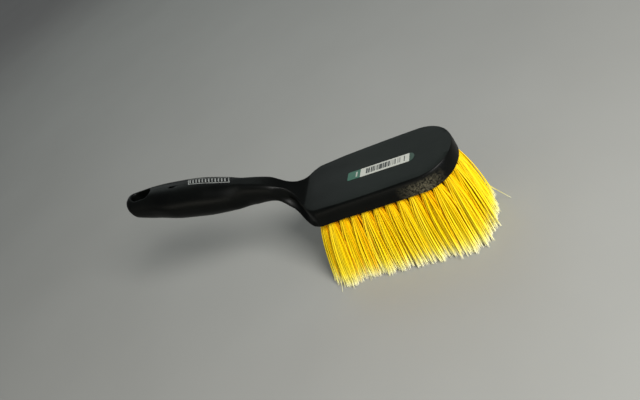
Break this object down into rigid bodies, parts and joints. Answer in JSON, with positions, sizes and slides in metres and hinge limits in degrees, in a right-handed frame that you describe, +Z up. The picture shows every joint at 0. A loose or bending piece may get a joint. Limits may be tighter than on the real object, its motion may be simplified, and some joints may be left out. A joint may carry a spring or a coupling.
{
  "type": "car wash brush",
  "caption": "Hand brush for washing vehicles: moulded black back, gooseneck handle with a hang hole, and soft yellow bristle tufts that splay outwards.",
  "frame": {"origin": "middle of the brush's length and width, on the plane of the trimmed bristle tips that it stands on", "axes": "+X from the handle to the toe of the head, +Y across the head, +Z up from the bristle tips to the back"},
  "size_m": [0.295, 0.0944, 0.1368],
  "materials": {
    "body": "satin",
    "label": "satin",
    "bristle": "matte"
  },
  "bodies": {
    "root": {"brush_body": "body", "label": "label", "tuft_inner_01": "bristle", "tuft_inner_02": "bristle", "tuft_inner_03": "bristle", "tuft_inner_04": "bristle", "tuft_inner_05": "bristle", "tuft_inner_06": "bristle", "tuft_inner_07": "bristle", "tuft_inner_08": "bristle", "tuft_inner_09": "bristle", "tuft_inner_10": "bristle", "tuft_inner_11": "bristle", "tuft_inner_12": "bristle", "tuft_inner_13": "bristle", "tuft_inner_14": "bristle", "tuft_inner_15": "bristle", "tuft_inner_16": "bristle", "tuft_inner_17": "bristle", "tuft_inner_18": "bristle", "tuft_inner_19": "bristle", "tuft_inner_20": "bristle", "tuft_middle_01": "bristle", "tuft_middle_02": "bristle", "tuft_middle_03": "bristle", "tuft_middle_04": "bristle", "tuft_middle_05": "bristle", "tuft_middle_06": "bristle", "tuft_outer_01": "bristle", "tuft_outer_02": "bristle", "tuft_outer_03": "bristle", "tuft_outer_04": "bristle", "tuft_outer_05": "bristle", "tuft_outer_06": "bristle", "tuft_outer_07": "bristle", "tuft_outer_08": "bristle", "tuft_outer_09": "bristle", "tuft_outer_10": "bristle", "tuft_outer_11": "bristle", "tuft_outer_12": "bristle", "tuft_outer_13": "bristle", "tuft_outer_14": "bristle", "tuft_outer_15": "bristle", "tuft_outer_16": "bristle", "tuft_outer_17": "bristle", "tuft_outer_18": "bristle", "tuft_outer_19": "bristle", "tuft_outer_20": "bristle", "tuft_outer_21": "bristle", "tuft_outer_22": "bristle", "tuft_outer_23": "bristle", "tuft_outer_24": "bristle", "tuft_outer_25": "bristle", "tuft_outer_26": "bristle", "tuft_outer_27": "bristle", "tuft_outer_28": "bristle", "tuft_outer_29": "bristle", "tuft_outer_30": "bristle"}
  },
  "joints": []
}
